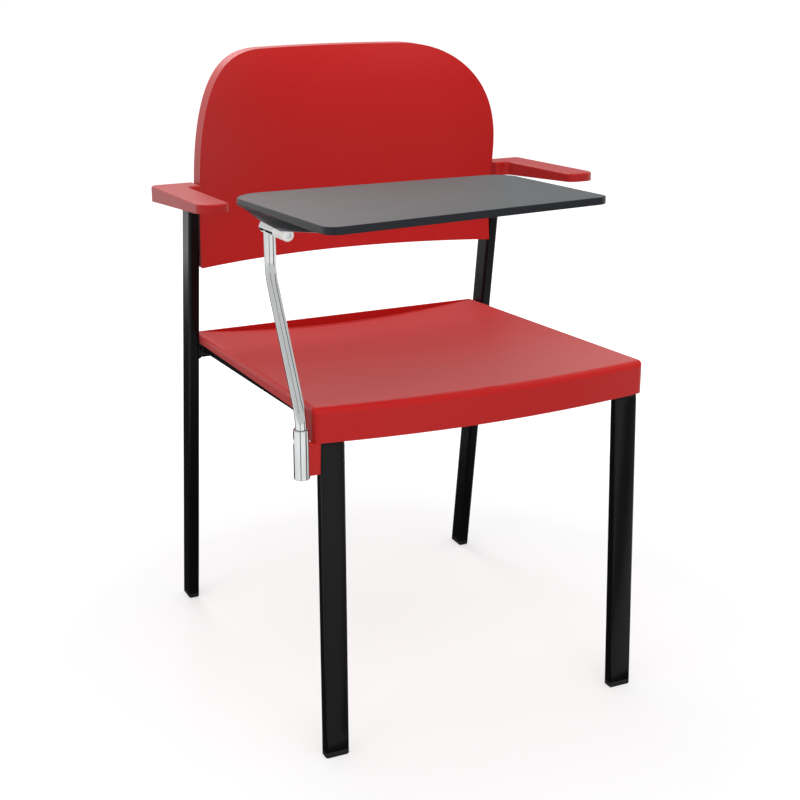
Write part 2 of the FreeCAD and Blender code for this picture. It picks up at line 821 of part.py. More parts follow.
def arm_pad():
    pad = arm_plan(0).common(arm_wedge(arm_bottom, arm_top))
    pad = fillet_where(pad, arm_edge, on_arm_top)
    pocket = arm_plan(plate_inset - rest_gap).common(
        arm_wedge(lambda y: arm_bottom(y) - overrun, lambda y: arm_bottom(y) + plate_thickness))
    pad = pad.cut(pocket)
    for shaft in arm_screw_parts(lambda place, length: cylinder(arm_screw_radius, place, along_z, length)):
        pad = pad.cut(shaft)
    return pad


def on_arm_top(edge):
    for vertex in edge.Vertexes:
        if abs(vertex.Z - arm_top(vertex.Y)) > near:
            return False
    return True


def arm_plate():
    """Steel plate in the pad's underside, welded on top of the upright."""
    plate = arm_plan(plate_inset).common(
        arm_wedge(arm_bottom, lambda y: arm_bottom(y) + plate_thickness))
    for hole in arm_screw_parts(lambda place, length: cylinder(
            arm_screw_radius + rest_gap, place - Vector(0, 0, overrun), along_z, length + overrun)):
        plate = plate.cut(hole)
    for face in arm_screw_parts(lambda place, length: cylinder(
            arm_screw_radius * head_share + rest_gap, place, -along_z, overrun)):
        plate = plate.cut(face)
    return plate


def arm_screws():
    left = arm_screw_parts(lambda place, length: screw(place, along_z, length, arm_screw_radius))
    return Part.Compound(left + [mirrored(shape) for shape in left])


# Socket on the right front leg

socket_axis = Vector(socket_x, socket_y, 0)


def at_socket(height):
    return Vector(socket_x, socket_y, height)


def ring_sector(inner, outer, bottom, height, start, end):
    """Part of a ring about the socket's axis, between two angles from +X."""
    corners = [Vector(inner, 0, 0), Vector(outer, 0, 0), Vector(outer, 0, height), Vector(inner, 0, height)]
    face = Part.Face(Part.makePolygon(corners + corners[:1]))
    face.rotate(Vector(0, 0, 0), along_z, start)
    sector = face.revolve(Vector(0, 0, 0), along_z, end - start)
    sector.translate(at_socket(bottom))
    return sector


def limit_slot():
    """Slot that the limit pin travels in."""
    inner = arm_radius - running_gap
    return ring_sector(inner, sleeve_radius + overrun, slot_bottom, slot_height, slot_start, slot_end)


def socket_sleeve():
    sleeve = cylinder(sleeve_radius, at_socket(sleeve_bottom), along_z, sleeve_height)
    sleeve = fillet_where(sleeve, sleeve_edge, lambda edge: isinstance(edge.Curve, Part.Circle))
    sleeve = sleeve.cut(cylinder(sleeve_bore, at_socket(sleeve_bottom), along_z, sleeve_height))
    sleeve = sleeve.cut(limit_slot())
    for shaft in socket_bolt_shafts(socket_bolt_radius):
        sleeve = sleeve.cut(shaft)
    return sleeve


def socket_bush():
    """Thin plastic liner that the arm tube turns in."""
    bottom = sleeve_bottom + end_plug_thickness
    height = sleeve_top - sleeve_edge - bottom
    bush = cylinder(sleeve_bore, at_socket(bottom), along_z, height)
    bush = bush.cut(cylinder(arm_radius + running_gap, at_socket(bottom), along_z, height))
    return bush.cut(limit_slot())


def socket_end_plug():
    """Disc that closes the sleeve and carries the arm tube's foot."""
    return cylinder(sleeve_bore, at_socket(sleeve_bottom), along_z, end_plug_thickness)


socket_bolt_heights = [sleeve_top - drop for drop in socket_bolt_drops]


def leg_inner_x(height):
    """X of the right leg's inner face, which runs upright above the start of the bend."""
    return tube_width / 2 - leg_point(front_foot, front_lean, min(height, bend_height)).x


def socket_bolt_seats():
    """Where the bolts' heads end, on the leg's inner face."""
    seats = []
    for height in socket_bolt_heights:
        leg_y = leg_point(front_foot, front_lean, height).y
        seats.append(Vector(leg_inner_x(height), leg_y, height))
    return seats


def socket_bolt_length(seat):
    return seat.x - socket_x - sleeve_bore - socket_bolt_skin


def socket_bolt_shafts(radius):
    """Bolts from the leg's inner face, through the spacer, into the sleeve's wall."""
    return [cylinder(radius, seat, -along_x, socket_bolt_length(seat)) for seat in socket_bolt_seats()]


def socket_bolts():
    return Part.Compound([sunk_screw(seat, -along_x, socket_bolt_length(seat), socket_bolt_radius)
                          for seat in socket_bolt_seats()])


def socket_spacer():
    """Block between the leg and the sleeve, hollowed to fit both."""
    bottom = apron_bottom - spacer_gap - spacer_height
    leg_middle = leg_point(front_foot, front_lean, bottom + spacer_height / 2)
    start = Vector(socket_x + sleeve_radius / 2, leg_middle.y - spacer_width / 2, bottom)
    block = Part.makeBox(-leg_middle.x - start.x, spacer_width, spacer_height, start)
    block = block.cut(cylinder(sleeve_radius, at_socket(0), along_z, seat_front_height))
    leg_face = Part.Face(front_section(leg_point(front_foot, front_lean, glide_height), 0))
    block = block.cut(mirrored(leg_face.extrude(front_lean * seat_front_height)))
    block = largest(block.cut(mirrored(front_leg_block(0))))
    for shaft in socket_bolt_shafts(socket_bolt_radius + rest_gap):
        block = block.cut(shaft)
    return block


def largest(shape):
    """The biggest solid of a shape that a cut has split."""
    return max(shape.Solids, key=lambda solid: solid.Volume)


# Writing arm

def arm_path():
    """Runs and bends of the arm tube's middle line, in the plane of the socket and the hinge.
    The run between the bends leans so that it touches both of them."""
    bends = arm_lower_bend + arm_upper_bend
    up = hinge_rise - arm_bend_rise - arm_top_run
    run = math.sqrt((arm_reach - bends) ** 2 + up ** 2 - bends ** 2)
    lean = math.atan2(run, -bends) - math.atan2(up, arm_reach - bends)
    start = at_socket(sleeve_bottom + end_plug_thickness + rest_gap + arm_plug_flange)
    bend = at_socket(sleeve_top + arm_bend_rise)
    lower_centre = bend + Vector(0, arm_lower_bend, 0)
    lower_mid = lower_centre + turned(arm_lower_bend, lean / 2, -1)
    lower_end = lower_centre + turned(arm_lower_bend, lean, -1)
    upper_start = lower_end + Vector(0, math.sin(lean), math.cos(lean)) * run
    upper_centre = upper_start - turned(arm_upper_bend, lean, 1)
    upper_mid = upper_centre + turned(arm_upper_bend, lean / 2, 1)
    upper_end = upper_centre + Vector(0, arm_upper_bend, 0)
    top = Vector(socket_x, hinge_y, hinge_height)
    return [Part.LineSegment(start, bend), Part.Arc(bend, lower_mid, lower_end),
            Part.LineSegment(lower_end, upper_start), Part.Arc(upper_start, upper_mid, upper_end),
            Part.LineSegment(upper_end, top)]


def turned(radius, angle, side):
    """From a bend's centre to its middle line, an angle past level."""
    return Vector(0, side * radius * math.cos(angle), -side * radius * math.sin(angle))


def pipe(radius):
    curves = arm_path()
    path = Part.Wire([curve.toShape() for curve in curves])
    start = curves[0].StartPoint
    circle = Part.Wire([Part.makeCircle(radius, start, along_z)])
    return path.makePipeShell([circle], True, False)


def arm_tube(barrel_space):
    tube = pipe(arm_radius).cut(pipe(arm_radius - arm_wall)).cut(barrel_space)
    return tube.cut(limit_pin())


def arm_tube_plug():
    """Plastic foot of the arm tube, which turns on the socket's end plug."""
    bottom = at_socket(sleeve_bottom + end_plug_thickness + rest_gap)
    flange = cylinder(arm_radius, bottom, along_z, arm_plug_flange)
    return flange.fuse(cylinder(arm_radius - arm_wall, bottom, along_z, arm_plug_length))


def limit_pin():
    """Pin in the arm tube that stops the swing at the ends of the sleeve's slot."""
    turn = math.radians(limit_pin_angle)
    outward = Vector(math.cos(turn), math.sin(turn), 0)
    middle = at_socket(slot_bottom + slot_height / 2)
    return cylinder(limit_pin_radius, middle + outward * limit_pin_root, outward,
                    limit_pin_reach - limit_pin_root)


# Tablet hinge, built level on its own axis and then tilted

hinge_origin = Vector(socket_x, hinge_y, hinge_height)


def tilted(shape):
    """Move a level piece from its own axis to its place on the arm."""
    shape.rotate(Vector(0, 0, 0), along_x, -hinge_tilt)
    shape.translate(hinge_origin)
    return shape


def on_axis(place):
    return Vector(0, place, 0)


def hinge_barrel():
    """Chromed cross tube on top of the arm."""
    length = barrel_rear - barrel_front
    barrel = cylinder(barrel_radius, on_axis(barrel_front), along_y, length)
    return barrel.cut(cylinder(barrel_bore, on_axis(barrel_front), along_y, length))


def barrel_space():
    return cylinder(barrel_radius, on_axis(barrel_front), along_y, barrel_rear - barrel_front)


def barrel_cap():
    """Domed plug in the barrel's rear end."""
    dome = cylinder(barrel_radius, on_axis(barrel_rear), along_y, cap_height)
    dome = fillet_where(dome, cap_edge, lambda edge: edge.BoundBox.YMin > barrel_rear + cap_height - near)
    return dome.fuse(cylinder(barrel_bore, on_axis(barrel_rear - cap_plug), along_y, cap_plug))


rear_bush_rear = barrel_rear - cap_plug - bush_step


def hinge_bushes():
    """Plastic bushes at both ends of the barrel's bore."""
    bushes = []
    for start in (barrel_front, rear_bush_rear - bush_length):
        bush = cylinder(barrel_bore, on_axis(start), along_y, bush_length)
        bushes.append(bush.cut(cylinder(axle_radius + running_gap, on_axis(start), along_y, bush_length)))
    return Part.Compound(bushes)


def hinge_stop():
    """Tab on the barrel that the tablet's housing rests on."""
    top = housing_bottom - rest_gap
    tab = Part.makeBox(stop_reach - stop_root, stop_rear - stop_front, stop_thickness,
                       Vector(stop_root, stop_front, top - stop_thickness))
    return tab.cut(barrel_space())


housing_bottom = barrel_radius + rest_gap
knuckle_rear = barrel_front - rest_gap
knuckle_front = knuckle_rear - knuckle_length
axle_front = knuckle_front + axle_recess
axle_rear = rear_bush_rear + clip_gap + clip_thickness + clip_gap


def hinge_knuckle():
    """Turned block under the tablet that is fixed to the axle, with the axle's end sunk in it."""
    knuckle = cylinder(barrel_radius, on_axis(knuckle_front), along_y, knuckle_length)
    knuckle = fillet_where(knuckle, knuckle_edge, lambda edge: edge.BoundBox.YMax < knuckle_front + near)
    groove = on_axis(knuckle_rear - knuckle_groove_setback)
    ring = cylinder(barrel_radius + overrun, groove, along_y, knuckle_groove_width)
    core = cylinder(barrel_radius - knuckle_groove_depth, groove, along_y, knuckle_groove_width)
    knuckle = knuckle.cut(ring.cut(core))
    saddle = Part.makeBox(saddle_half_width + saddle_half_width, knuckle_length - saddle_inset - saddle_inset,
                          housing_bottom - saddle_base,
                          Vector(-saddle_half_width, knuckle_front + saddle_inset, saddle_base))
    knuckle = knuckle.fuse(saddle)
    bore = cylinder(axle_radius, on_axis(knuckle_front), along_y, knuckle_length)
    return knuckle.cut(bore).removeSplitter()


def hinge_axle():
    return cylinder(axle_radius, on_axis(axle_front), along_y, axle_rear - axle_front)


def axle_clip():
    """Spring ring that keeps the axle in the barrel."""
    start = rear_bush_rear + clip_gap
    ring = cylinder(clip_radius, on_axis(start), along_y, clip_thickness)
    return ring.cut(cylinder(axle_radius, on_axis(start), along_y, clip_thickness))


# Tablet

tablet_corners = (tablet_rear_right, tablet_front_right, tablet_front_left, tablet_rear_left)
tablet_radii = (tablet_rear_right_corner, tablet_front_right_corner,
                tablet_front_left_corner, tablet_rear_left_corner)
tablet_bottom = tablet_top - tablet_thickness


def tablet_outline():
    corners = [Vector(u, v, tablet_bottom) for u, v in tablet_corners]
    return rounded_outline(corners, tablet_radii)


def tablet_block(inset):
    """The tablet's outline, drawn in by an inset, as a solid of its thickness."""
    outline = tablet_outline()
    if inset:
        outline = outline.makeOffset2D(-inset)
    return Part.Face(outline).extrude(Vector(0, 0, tablet_thickness))


def tablet_edge():
    """Plastic band glued round the board."""
    block = tablet_block(0)
    block = fillet_where(block, edge_round, lambda edge: edge.BoundBox.ZMin > tablet_top - near
                         or edge.BoundBox.ZMax < tablet_bottom + near)
    return block.cut(tablet_block(edge_band_width))


def tablet_board():
    return tablet_block(edge_band_width).cut(tablet_screw_shafts())


def along_edge(start, end, share):
    """A place on the line between two of the tablet's corners, in plan."""
    return start[0] + (end[0] - start[0]) * share, start[1] + (end[1] - start[1]) * share


def housing_top_corners():
    """The housing's upper outline in plan: it follows the board's right and rear edges."""
    front_share = (housing_front - tablet_rear_right[1]) / (tablet_front_right[1] - tablet_rear_right[1])
    left_share = (housing_left - tablet_rear_right[0]) / (tablet_rear_left[0] - tablet_rear_right[0])
    front_right = along_edge(tablet_rear_right, tablet_front_right, front_share)
    rear_left = along_edge(tablet_rear_right, tablet_rear_left, left_share)
    return ((tablet_rear_right[0] - housing_lip, tablet_rear_right[1] + housing_lip),
            (front_right[0] - housing_lip, front_right[1]),
            (housing_left, housing_front),
            (rear_left[0], rear_left[1] + housing_lip))


def lip_height(place):
    """Level of the housing's upper edge, higher at the rear."""
    share = (place - housing_front) / (tablet_rear_right[1] - housing_front)
    return tablet_bottom + housing_lip_front + (housing_lip_rear - housing_lip_front) * share


def hinge_housing():
    """Tapered moulding between the board and the hinge."""
    top = rounded_outline([Vector(u, v, lip_height(v)) for u, v in housing_top_corners()],
                          [tablet_rear_right_corner + housing_lip, housing_front_corner,
                           housing_left_corner, housing_left_corner])
    corners = (housing_bottom_rear_right, housing_bottom_front_right,
               housing_bottom_front_left, housing_bottom_rear_left)
    bottom = rounded_outline([Vector(u, v, housing_bottom) for u, v in corners],
                             [housing_bottom_corner] * len(corners))
    housing = Part.makeLoft([bottom, top], True, True)
    return housing.cut(board_space()).cut(tablet_screw_shafts())


def board_space():
    """Room for the board and its band, open upwards."""
    outline = tablet_outline().makeOffset2D(rest_gap)
    return Part.Face(outline).extrude(Vector(0, 0, tablet_thickness + overrun))


def tablet_screw_length():
    return tablet_top - housing_bottom - tablet_screw_skin


def tablet_screw_shafts():
    return Part.Compound([cylinder(tablet_screw_radius, Vector(u, v, housing_bottom), along_z,
                                   tablet_screw_length()) for u, v in tablet_screw_places])


def tablet_screws():
    return Part.Compound([screw(Vector(u, v, housing_bottom), along_z, tablet_screw_length(),
                                tablet_screw_radius) for u, v in tablet_screw_places])


# Assembly

def add_pair(name, left_shape):
    pieces[name + "_left"] = left_shape
    pieces[name + "_right"] = mirrored(left_shape)


def build_frame():
    leg = hollow(front_leg_block)
    add_pair("front_leg", leg)
    holes = socket_bolt_shafts(socket_bolt_radius + rest_gap)
    holes += [sink(seat, -along_x, socket_bolt_radius, rest_gap) for seat in socket_bolt_seats()]
    pieces["front_leg_right"] = pieces["front_leg_right"].cut(holes)
    add_pair("rear_leg", upright())
    add_pair("side_rail", side_rail().cut(seat_screw_holes()))
    pieces["front_cross_rail"] = cross_rail(front_cross_y, rail_start.x - tube_width / 2, rail_drop)
    pieces["rear_cross_rail"] = cross_rail(rear_cross_y, upright_inner_x, rear_cross_drop)
    for name, level in zip(("back_bar_lower", "back_bar_upper"), bar_levels):
        pieces[name] = back_bar(level)
    add_pair("glide_front", glide(front_foot, front_lean, front_section))
    add_pair("glide_rear", glide(rear_foot, rear_lean, upright_section))


def build_shells():
    pieces["seat_shell"] = seat_shell()
    pieces["seat_screws"] = seat_screws()
    pieces["back_shell"] = back_shell()
    pieces["back_screws"] = back_screws()
    add_pair("arm_pad", arm_pad())
    add_pair("arm_plate", arm_plate())
    pieces["arm_screws"] = arm_screws()


def build_socket():
    pieces["socket_sleeve"] = socket_sleeve()
    pieces["socket_bush"] = socket_bush()
    pieces["socket_end_plug"] = socket_end_plug()
    pieces["socket_bolts"] = socket_bolts()
    pieces["socket_spacer"] = socket_spacer()


def build_writing_arm():
    pieces["arm_tube"] = arm_tube(tilted(barrel_space()))
    pieces["arm_tube_plug"] = arm_tube_plug()
    pieces["limit_pin"] = limit_pin()
    pieces["hinge_barrel"] = tilted(hinge_barrel())
    pieces["barrel_cap"] = tilted(barrel_cap())
    pieces["hinge_bushes"] = tilted(hinge_bushes())
    pieces["hinge_stop"] = tilted(hinge_stop())


def build_tablet():
    pieces["hinge_knuckle"] = tilted(hinge_knuckle())
    pieces["hinge_axle"] = tilted(hinge_axle())
    pieces["axle_clip"] = tilted(axle_clip())
    pieces["hinge_housing"] = tilted(hinge_housing())
    pieces["tablet_board"] = tilted(tablet_board())
    pieces["tablet_edge"] = tilted(tablet_edge())
    pieces["tablet_screws"] = tilted(tablet_screws())


def export_all():
    """Centre the chair over the origin and write each piece."""
    os.makedirs("parts", exist_ok=True)
    box = Part.Compound(list(pieces.values())).optimalBoundingBox(False, False)
    shift = Vector(0, -box.Center.y, 0)
    for name, shape in pieces.items():
        shape.translate(shift)
        shape.exportStep("parts/" + name + ".step")
        print(name, "valid" if shape.isValid() else "NOT VALID", len(shape.Solids), round(shape.Volume, 1))
    print("box", box.XMin, box.XMax, box.YMin, box.YMax, box.ZMin, box.ZMax, "shift", shift.y)
    print("socket axis", socket_axis + shift)
    print("hinge axis", hinge_origin + shift, "bend height", bend_height)


build_frame()
build_shells()
build_socket()
build_writing_arm()
build_tablet()
export_all()
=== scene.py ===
import bmesh
import bpy
import json
import math
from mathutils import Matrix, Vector
from mathutils.bvhtree import BVHTree
from mathutils.geometry import convex_hull_2d

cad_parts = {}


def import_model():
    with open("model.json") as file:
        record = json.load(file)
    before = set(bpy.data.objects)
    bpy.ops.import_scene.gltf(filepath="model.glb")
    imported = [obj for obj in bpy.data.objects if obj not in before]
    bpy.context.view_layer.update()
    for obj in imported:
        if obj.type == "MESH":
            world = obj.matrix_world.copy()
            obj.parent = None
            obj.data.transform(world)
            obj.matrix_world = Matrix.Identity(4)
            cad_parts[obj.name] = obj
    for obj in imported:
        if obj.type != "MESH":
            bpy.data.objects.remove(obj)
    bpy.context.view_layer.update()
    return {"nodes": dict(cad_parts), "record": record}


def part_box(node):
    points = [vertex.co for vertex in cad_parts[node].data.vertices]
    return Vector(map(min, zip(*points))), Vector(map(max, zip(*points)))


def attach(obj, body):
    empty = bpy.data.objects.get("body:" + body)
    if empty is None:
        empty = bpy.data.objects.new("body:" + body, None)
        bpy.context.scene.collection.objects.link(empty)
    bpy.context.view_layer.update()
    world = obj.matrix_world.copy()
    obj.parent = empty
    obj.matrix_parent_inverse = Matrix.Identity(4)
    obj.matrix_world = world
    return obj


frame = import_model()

nodes = frame["nodes"]
scene = bpy.context.scene
across_x = Vector((1, 0, 0))
along_y = Vector((0, 1, 0))
up = Vector((0, 0, 1))

# Materials: colours are linear, lengths in metres

shell_red = (0.445, 0.006, 0.005, 1.0)
seat_red = (0.44, 0.0045, 0.0035, 1.0)
# Paler red for the seat's top towards its front: painted light
seat_front_light_red = (0.47, 0.07, 0.066, 1.0)
# The arm pads' red is the shell's red made darker: painted shade, as their open tops get more light than the seat
pad_red_painted_shade = (0.36, 0.0045, 0.0035, 1.0)
chrome_grey = (0.50, 0.51, 0.515, 1.0)
zinc_grey = (0.62, 0.63, 0.66, 1.0)
laminate_grey = (0.040, 0.047, 0.049, 1.0)

shell_rough = 0.46
shell_specular = 0.26
shell_grain = 0.1
shell_sheen = {"Sheen_Weight": 0.12, "Sheen_Roughness": 0.45}
paint_rough = 0.24
paint_specular = 0.13
tube_width = 0.032
leg_bulge = 6.5                 # height of the crown over the square of the way across, per metre
light_from, light_to = -0.14, 0.16            # places along Y where the painted light on the seat's top is full and gone
light_slant, light_flat = 0.9, 0.99           # how level a face is where the painted light starts and is full


def srgb(red, green, blue):
    """Linear colour from the 0-255 values seen in a picture."""
    out = []
    for value in (red, green, blue):
        share = value / 255
        out.append(share / 12.92 if share <= 0.04045 else ((share + 0.055) / 1.055) ** 2.4)
    return (out[0], out[1], out[2], 1.0)


def shade(colour, factor):
    return (colour[0] * factor, colour[1] * factor, colour[2] * factor, 1.0)


class Tree:
    """A node tree with short ways to add nodes."""

    def __init__(self, tree):
        self.tree = tree

    def node(self, kind, **values):
        made = self.tree.nodes.new("ShaderNode" + kind)
        for key, value in values.items():
            if key in made.inputs:
                made.inputs[key].default_value = value
            else:
                setattr(made, key, value)
        return made

    def link(self, source, target):
        self.tree.links.new(source, target)

    def math(self, operation, *terms):
        """The result of a sum on sockets and numbers."""
        made = self.node("Math", operation=operation)
        for term, socket in zip(terms, made.inputs):
            if isinstance(term, float):
                socket.default_value = term
            else:
                self.link(term, socket)
        return made.outputs[0]

    def mix(self, share, first, second):
        """Two surfaces mixed by a share."""
        made = self.node("MixShader")
        for source, socket in zip((share, first, second), made.inputs):
            self.link(source, socket)
        return made.outputs[0]

    def surface(self, source, output="Material Output"):
        self.link(source, self.tree.nodes[output].inputs["Surface"])


class Shader(Tree):
    """A material, its principled shader and its object coordinates."""

    def __init__(self, name):
        self.material = bpy.data.materials.new(name)
        self.material.use_nodes = True
        super().__init__(self.material.node_tree)
        self.bsdf = self.tree.nodes["Principled BSDF"]
        self.coords = self.tree.nodes.new("ShaderNodeTexCoord").outputs["Object"]

    def set(self, **values):
        for key, value in values.items():
            self.bsdf.inputs[key.replace("_", " ")].default_value = value

    def feed(self, **sources):
        for key, source in sources.items():
            self.link(source, self.bsdf.inputs[key.replace("_", " ")])

    def noise(self, scale, detail=2.0, rough=0.5, stretch=(1, 1, 1)):
        mapping = self.node("Mapping", Scale=stretch)
        self.link(self.coords, mapping.inputs["Vector"])
        made = self.node("TexNoise", Scale=scale, Detail=detail, Roughness=rough)
        self.link(mapping.outputs["Vector"], made.inputs["Vector"])
        return made.outputs["Fac"]

    def ranged(self, source, low, high, start=0.3, end=0.7):
        made = self.node("MapRange")
        for key, value in (("From Min", start), ("From Max", end), ("To Min", low), ("To Max", high)):
            made.inputs[key].default_value = value
        self.link(source, made.inputs["Value"])
        return made.outputs["Result"]

    def tinted(self, source, colour, dark, light, start=0.3, end=0.7):
        """The colour, darker or lighter by the source."""
        made = self.node("ValToRGB")
        for element, place, factor in zip(made.color_ramp.elements, (start, end), (dark, light)):
            element.position = place
            element.color = shade(colour, factor)
        self.link(source, made.inputs["Fac"])
        return made.outputs["Color"]

    def bump(self, source, strength, distance):
        made = self.node("Bump", Strength=strength, Distance=distance)
        self.link(source, made.inputs["Height"])
        return made.outputs["Normal"]


def moulded(name, colour, rough, grain, specular=0.5):
    """Satin moulded plastic: a fine spark grain and a slow drift in tone and gloss."""
    made = Shader(name)
    spread = 0.02
    swing = 0.025
    drift = made.noise(2.2)
    smear = made.noise(11.0, 4.0, 0.6)
    spark = made.noise(2600.0)
    made.feed(Base_Color=made.tinted(drift, colour, 1 - spread, 1 + spread),
              Roughness=made.ranged(smear, rough - swing, rough + swing),
              Normal=made.bump(spark, grain, 0.0001))
    made.set(Specular_IOR_Level=specular)
    return made


def painted(name, colour, rough, specular):
    """Powder coat: orange peel over the steel."""
    made = Shader(name)
    peel = made.noise(850.0)
    speck = made.noise(4200.0, 1.0)
    drift = made.noise(9.0, 3.0)
    made.feed(Base_Color=made.tinted(speck, colour, 0.8, 1.3, 0.35, 0.72),
              Roughness=made.ranged(drift, rough - 0.04, rough + 0.05),
              Normal=made.bump(peel, 0.2, 0.0001))
    made.set(Specular_IOR_Level=specular)
    return made


def metal(name, colour, rough, stretch=(1, 1, 1), brushed=0.02):
    """Plated steel, with fine hairs along the stretch."""
    made = Shader(name)
    hair = made.noise(900.0, 3.0, 0.6, stretch)
    cloud = made.noise(30.0, 3.0)
    made.feed(Base_Color=made.tinted(cloud, colour, 0.94, 1.03),
              Roughness=made.ranged(hair, rough - brushed, rough + brushed),
              Normal=made.bump(hair, 0.05, 0.00004))
    made.set(Metallic=1.0)
    return made


def paint_seat_front_light(made, pale):
    """Lightens the seat's top towards its front: painted light that lifts the shade the tablet casts there."""
    place = made.node("SeparateXYZ")
    made.link(made.coords, place.inputs[0])
    facing = made.node("SeparateXYZ")
    made.link(made.node("NewGeometry").outputs["Normal"], facing.inputs[0])
    front = made.ranged(place.outputs["Y"], 1.0, 0.0, light_from, light_to)
    flat = made.ranged(facing.outputs["Z"], 0.0, 1.0, light_slant, light_flat)
    mix = made.node("Mix", data_type="RGBA")
    factor, first, second = mix.inputs["Factor"], mix.inputs[6], mix.inputs[7]
    made.link(made.math("MULTIPLY", front, flat), factor)
    made.link(made.bsdf.inputs["Base Color"].links[0].from_socket, first)
    second.default_value = pale
    made.feed(Base_Color=mix.outputs[2])


def crowned(made, middle, lean, bulge):
    """Tilts the paint's normals as the slightly crowned wide face of a front leg does."""
    split = made.node("SeparateXYZ")
    made.link(made.coords, split.inputs[0])
    out = made.math("SUBTRACT", made.math("ABSOLUTE", split.outputs["X"]), middle)
    away = made.math("MULTIPLY_ADD", split.outputs["Z"], lean, out)
    crown = made.math("MULTIPLY", made.math("POWER", away, 2.0), -bulge)
    peel = made.bsdf.inputs["Normal"].links[0].from_node
    made.link(made.bump(crown, 1.0, 1.0), peel.inputs["Normal"])


red = moulded("red_shell", shell_red, shell_rough, shell_grain, shell_specular)
red_seat = moulded("red_seat", seat_red, shell_rough, shell_grain, shell_specular)
# A darker copy of the shell's red for the arm pads: painted shade
red_pad_painted_shade = moulded("red_pad_painted_shade", pad_red_painted_shade, 0.44, shell_grain, 0.3)
for made in (red, red_seat, red_pad_painted_shade):
    made.set(**shell_sheen)
# Painted light: the seat's top turns paler towards its front
paint_seat_front_light(red_seat, seat_front_light_red)

frame_black = painted("black_powder_coat", srgb(11, 11, 12), paint_rough, paint_specular)
leg_black = painted("black_powder_coat_leg", srgb(11, 11, 12), paint_rough, paint_specular)
leg_low, leg_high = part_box("front_leg_left")
crowned(leg_black, leg_high[0] - tube_width / 2, (leg_high[0] - leg_low[0] - tube_width) / leg_high[2], leg_bulge)

black_plastic = moulded("black_plastic", srgb(26, 26, 28), 0.5, 0.2)
nylon = moulded("natural_nylon", srgb(243, 243, 240), 0.34, 0.06)
chrome = metal("polished_chrome", chrome_grey, 0.09, (1, 1, 0.05), 0.02)
zinc = metal("bright_zinc", zinc_grey, 0.3, (1, 1, 1), 0.06)
tablet_grey = moulded("tablet_laminate", laminate_grey, 0.5, 0.16, 0.68)
tablet_dark = moulded("tablet_dark", srgb(22, 25, 31), 0.32, 0.1, 0.22)

by_slot = {"frame_paint": frame_black, "red_plastic": red, "black_plastic": black_plastic,
           "bush_plastic": nylon, "zinc_steel": zinc, "chrome": chrome,
           "tablet_grey": tablet_grey, "tablet_dark": tablet_dark}
by_node = {"front_leg_left": leg_black, "front_leg_right": leg_black, "seat_shell": red_seat,
           "arm_pad_left": red_pad_painted_shade, "arm_pad_right": red_pad_painted_shade}
for part in frame["record"]["subparts"]:
    node = part["node"]
    made = by_node.get(node, by_slot[part["material_slot"]])
    mesh = nodes[node].data
    mesh.materials.clear()
    mesh.materials.append(made.material)

# The photo's chrome shows no dark tablet
for node in ("tablet_board", "tablet_edge", "hinge_housing"):
    nodes[node].visible_glossy = False


# Pieces that the solids leave plain

smooth_angle = 40               # degrees; sharper edges stay sharp

bead_radius = 0.0019
bead_sides = 10
bead_pitch = 0.0011
bead_ripples = ((0.14, 1.9), (0.05, 0.7))   # share of the radius, and turn per step
end_skin = 0.0012               # how far from a tube's end a vertex still counts as its outline
beads_at = (("side_rail_left", 1, (1,)), ("side_rail_right", 1, (1,)), ("rear_cross_rail", 0, (1, -1)),
            ("front_cross_rail", 0, (1, -1)), ("back_bar_upper", 0, (1, -1)), ("back_bar_lower", 0, (1, -1)))

rib_height = 0.006
rib_thickness = 0.0018
rib_tip_share = 0.33            # half the thickness at the tip, as a share of the whole at the foot
rib_sunk = 0.0008
rib_step = 0.008
rib_pitch_x, rib_count_x = 0.042, 4         # ribs to each side of the middle one
rib_runs = ((-0.192, -0.134), (-0.088, 0.222))
rib_pitch_y, rib_start_y = 0.044, -0.040
rib_places_y = (-3, 0, 1, 2, 3, 4, 5)       # in pitches from the start
rib_reach_x = 0.182
below_seat = 0.3

head_spread = 0.009             # vertices of one screw lie closer together than this, seen from its head
head_skin = 0.0004
head_rise = 0.0006
head_skirt = 0.0005
cross_depth = 0.0011
cross_half_width, cross_half_length = 0.12, 0.56    # as shares of the head's radius
cross_core = 0.3                # share of the radius where the cross is deepest
cross_shallow = 0.6             # share of the depth beyond that
head_rings = 12
head_steps = 40
seat_tilt = (0, -0.0576, -0.9983)           # down, at right angles to the seat
tablet_tilt = (0, -0.045, -0.999)
heads_at = (("seat_screws", seat_tilt, "root"), ("back_screws", along_y, "root"),
            ("arm_screws", -up, "root"), ("tablet_screws", tablet_tilt, "tablet"))


def vertices_of(node):
    matrix = nodes[node].matrix_world
    return [matrix @ vertex.co for vertex in nodes[node].data.vertices]


def dress(name, made, material, body="root"):
    """Turns a bmesh into a smooth piece that rides on a body."""
    mesh = bpy.data.meshes.new(name)
    bmesh.ops.recalc_face_normals(made, faces=made.faces)
    made.to_mesh(mesh)
    made.free()
    for polygon in mesh.polygons:
        polygon.use_smooth = True
    mesh.set_sharp_from_angle(angle=math.radians(smooth_angle))
    mesh.materials.append(material.material)
    piece = bpy.data.objects.new(name, mesh)
    scene.collection.objects.link(piece)
    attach(piece, body)


def bridge(made, first, second):
    """Faces between two rings of the same count."""
    count = len(first)
    for k in range(count):
        after = (k + 1) % count
        made.faces.new((first[k], second[k], second[after], first[after]))


